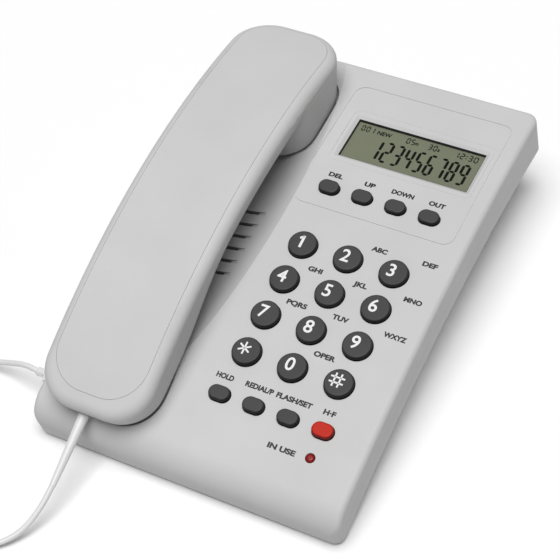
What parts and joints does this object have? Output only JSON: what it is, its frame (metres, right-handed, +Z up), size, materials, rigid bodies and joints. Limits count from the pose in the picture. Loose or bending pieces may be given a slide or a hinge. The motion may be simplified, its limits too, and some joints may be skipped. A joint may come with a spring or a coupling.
{
  "type": "corded landline phone",
  "caption": "Light grey corded desk telephone with handset in a side cradle, display, round digit keys, oval function keys and a curly cord.",
  "frame": {"origin": "on the desk, under the middle of the phone's box, cord left out", "axes": "+X to the right as the user sees it, +Y to the rear, +Z up"},
  "size_m": [0.2154, 0.2709, 0.0687],
  "materials": {
    "grey_plastic": "fine moulded satin",
    "key_plastic": "satin",
    "red_plastic": "satin",
    "window_plastic": "clear polished",
    "display_glass": "satin polarised",
    "mat_rubber": "matte",
    "circuit_board": "solder-masked",
    "lamp_plastic": "translucent polished",
    "black_plastic": "moulded satin",
    "cell_jacket": "printed satin",
    "steel": "bright zinc",
    "foot_rubber": "matte",
    "foam": "open-cell matte",
    "clear_plastic": "clear moulded",
    "cord_vinyl": "smooth satin vinyl"
  },
  "bodies": {
    "base": {"upper_housing": "grey_plastic", "lower_housing": "grey_plastic", "battery_cover": "grey_plastic", "lcd_window": "window_plastic", "lcd_module": "display_glass", "keypad_mat": "mat_rubber", "main_board": "circuit_board", "in_use_led": "lamp_plastic", "base_speaker": "black_plastic", "base_microphone": "black_plastic", "hook_switch": "black_plastic", "ringer_switch_body": "black_plastic", "line_jack": "black_plastic", "handset_jack": "black_plastic", "batteries": "cell_jacket", "battery_contacts": "steel", "hook_spring": "steel", "housing_screws": "steel", "board_screws": "steel", "rubber_feet": "foot_rubber", "cord_plug": "clear_plastic", "cord_coil": "cord_vinyl", "cord_tail": "cord_vinyl"},
    "handset": {"handset_shell": "grey_plastic", "handset_cover": "grey_plastic", "receiver_capsule": "black_plastic", "receiver_gasket": "foam", "handset_microphone": "black_plastic", "handset_weight": "steel", "handset_screws": "steel", "strain_relief": "cord_vinyl", "cord_lead": "cord_vinyl"},
    "hook": {"hook_plunger": "black_plastic"},
    "ringer": {"ringer_switch": "black_plastic"},
    "key_1_cap": {"key_1": "key_plastic"},
    "key_2_cap": {"key_2": "key_plastic"},
    "key_3_cap": {"key_3": "key_plastic"},
    "key_4_cap": {"key_4": "key_plastic"},
    "key_5_cap": {"key_5": "key_plastic"},
    "key_6_cap": {"key_6": "key_plastic"},
    "key_7_cap": {"key_7": "key_plastic"},
    "key_8_cap": {"key_8": "key_plastic"},
    "key_9_cap": {"key_9": "key_plastic"},
    "key_star_cap": {"key_star": "key_plastic"},
    "key_0_cap": {"key_0": "key_plastic"},
    "key_hash_cap": {"key_hash": "key_plastic"},
    "key_delete_cap": {"key_delete": "key_plastic"},
    "key_up_cap": {"key_up": "key_plastic"},
    "key_down_cap": {"key_down": "key_plastic"},
    "key_out_cap": {"key_out": "key_plastic"},
    "key_hold_cap": {"key_hold": "key_plastic"},
    "key_redial_cap": {"key_redial": "key_plastic"},
    "key_flash_cap": {"key_flash": "key_plastic"},
    "key_hands_free_cap": {"key_hands_free": "red_plastic"}
  },
  "joints": [
    {"name": "handset_lift", "type": "slide", "parent": "base", "child": "handset", "axis": [0, -0.1736, 0.9848], "range_m": [0, 0.035]},
    {"name": "hook_travel", "type": "slide", "parent": "base", "child": "hook", "axis": [0, 0, 1], "range_m": [0, 0.004], "deforming": ["hook_spring"]},
    {"name": "ringer_slide", "type": "slide", "parent": "base", "child": "ringer", "axis": [1, 0, 0], "range_m": [-0.002, 0.002]},
    {"name": "key_1_press", "type": "slide", "parent": "base", "child": "key_1_cap", "axis": [0, -0.1736, 0.9848], "range_m": [-0.0012, 0], "stiffness_N_per_m": 200, "springref_m": 0.0004},
    {"name": "key_2_press", "type": "slide", "parent": "base", "child": "key_2_cap", "axis": [0, -0.1736, 0.9848], "range_m": [-0.0012, 0], "stiffness_N_per_m": 200, "springref_m": 0.0004},
    {"name": "key_3_press", "type": "slide", "parent": "base", "child": "key_3_cap", "axis": [0, -0.1736, 0.9848], "range_m": [-0.0012, 0], "stiffness_N_per_m": 200, "springref_m": 0.0004},
    {"name": "key_4_press", "type": "slide", "parent": "base", "child": "key_4_cap", "axis": [0, -0.1736, 0.9848], "range_m": [-0.0012, 0], "stiffness_N_per_m": 200, "springref_m": 0.0004},
    {"name": "key_5_press", "type": "slide", "parent": "base", "child": "key_5_cap", "axis": [0, -0.1736, 0.9848], "range_m": [-0.0012, 0], "stiffness_N_per_m": 200, "springref_m": 0.0004},
    {"name": "key_6_press", "type": "slide", "parent": "base", "child": "key_6_cap", "axis": [0, -0.1736, 0.9848], "range_m": [-0.0012, 0], "stiffness_N_per_m": 200, "springref_m": 0.0004},
    {"name": "key_7_press", "type": "slide", "parent": "base", "child": "key_7_cap", "axis": [0, -0.1736, 0.9848], "range_m": [-0.0012, 0], "stiffness_N_per_m": 200, "springref_m": 0.0004},
    {"name": "key_8_press", "type": "slide", "parent": "base", "child": "key_8_cap", "axis": [0, -0.1736, 0.9848], "range_m": [-0.0012, 0], "stiffness_N_per_m": 200, "springref_m": 0.0004},
    {"name": "key_9_press", "type": "slide", "parent": "base", "child": "key_9_cap", "axis": [0, -0.1736, 0.9848], "range_m": [-0.0012, 0], "stiffness_N_per_m": 200, "springref_m": 0.0004},
    {"name": "key_star_press", "type": "slide", "parent": "base", "child": "key_star_cap", "axis": [0, -0.1736, 0.9848], "range_m": [-0.0012, 0], "stiffness_N_per_m": 200, "springref_m": 0.0004},
    {"name": "key_0_press", "type": "slide", "parent": "base", "child": "key_0_cap", "axis": [0, -0.1736, 0.9848], "range_m": [-0.0012, 0], "stiffness_N_per_m": 200, "springref_m": 0.0004},
    {"name": "key_hash_press", "type": "slide", "parent": "base", "child": "key_hash_cap", "axis": [0, -0.1736, 0.9848], "range_m": [-0.0012, 0], "stiffness_N_per_m": 200, "springref_m": 0.0004},
    {"name": "key_delete_press", "type": "slide", "parent": "base", "child": "key_delete_cap", "axis": [0, -0.1736, 0.9848], "range_m": [-0.0012, 0], "stiffness_N_per_m": 200, "springref_m": 0.0004},
    {"name": "key_up_press", "type": "slide", "parent": "base", "child": "key_up_cap", "axis": [0, -0.1736, 0.9848], "range_m": [-0.0012, 0], "stiffness_N_per_m": 200, "springref_m": 0.0004},
    {"name": "key_down_press", "type": "slide", "parent": "base", "child": "key_down_cap", "axis": [0, -0.1736, 0.9848], "range_m": [-0.0012, 0], "stiffness_N_per_m": 200, "springref_m": 0.0004},
    {"name": "key_out_press", "type": "slide", "parent": "base", "child": "key_out_cap", "axis": [0, -0.1736, 0.9848], "range_m": [-0.0012, 0], "stiffness_N_per_m": 200, "springref_m": 0.0004},
    {"name": "key_hold_press", "type": "slide", "parent": "base", "child": "key_hold_cap", "axis": [0, -0.1736, 0.9848], "range_m": [-0.0012, 0], "stiffness_N_per_m": 200, "springref_m": 0.0004},
    {"name": "key_redial_press", "type": "slide", "parent": "base", "child": "key_redial_cap", "axis": [0, -0.1736, 0.9848], "range_m": [-0.0012, 0], "stiffness_N_per_m": 200, "springref_m": 0.0004},
    {"name": "key_flash_press", "type": "slide", "parent": "base", "child": "key_flash_cap", "axis": [0, -0.1736, 0.9848], "range_m": [-0.0012, 0], "stiffness_N_per_m": 200, "springref_m": 0.0004},
    {"name": "key_hands_free_press", "type": "slide", "parent": "base", "child": "key_hands_free_cap", "axis": [0, -0.1736, 0.9848], "range_m": [-0.0012, 0], "stiffness_N_per_m": 200, "springref_m": 0.0004}
  ],
  "couplings": [
    {"joint": "hook_travel", "follows": "handset_lift", "ratio": 0.11428}
  ]
}
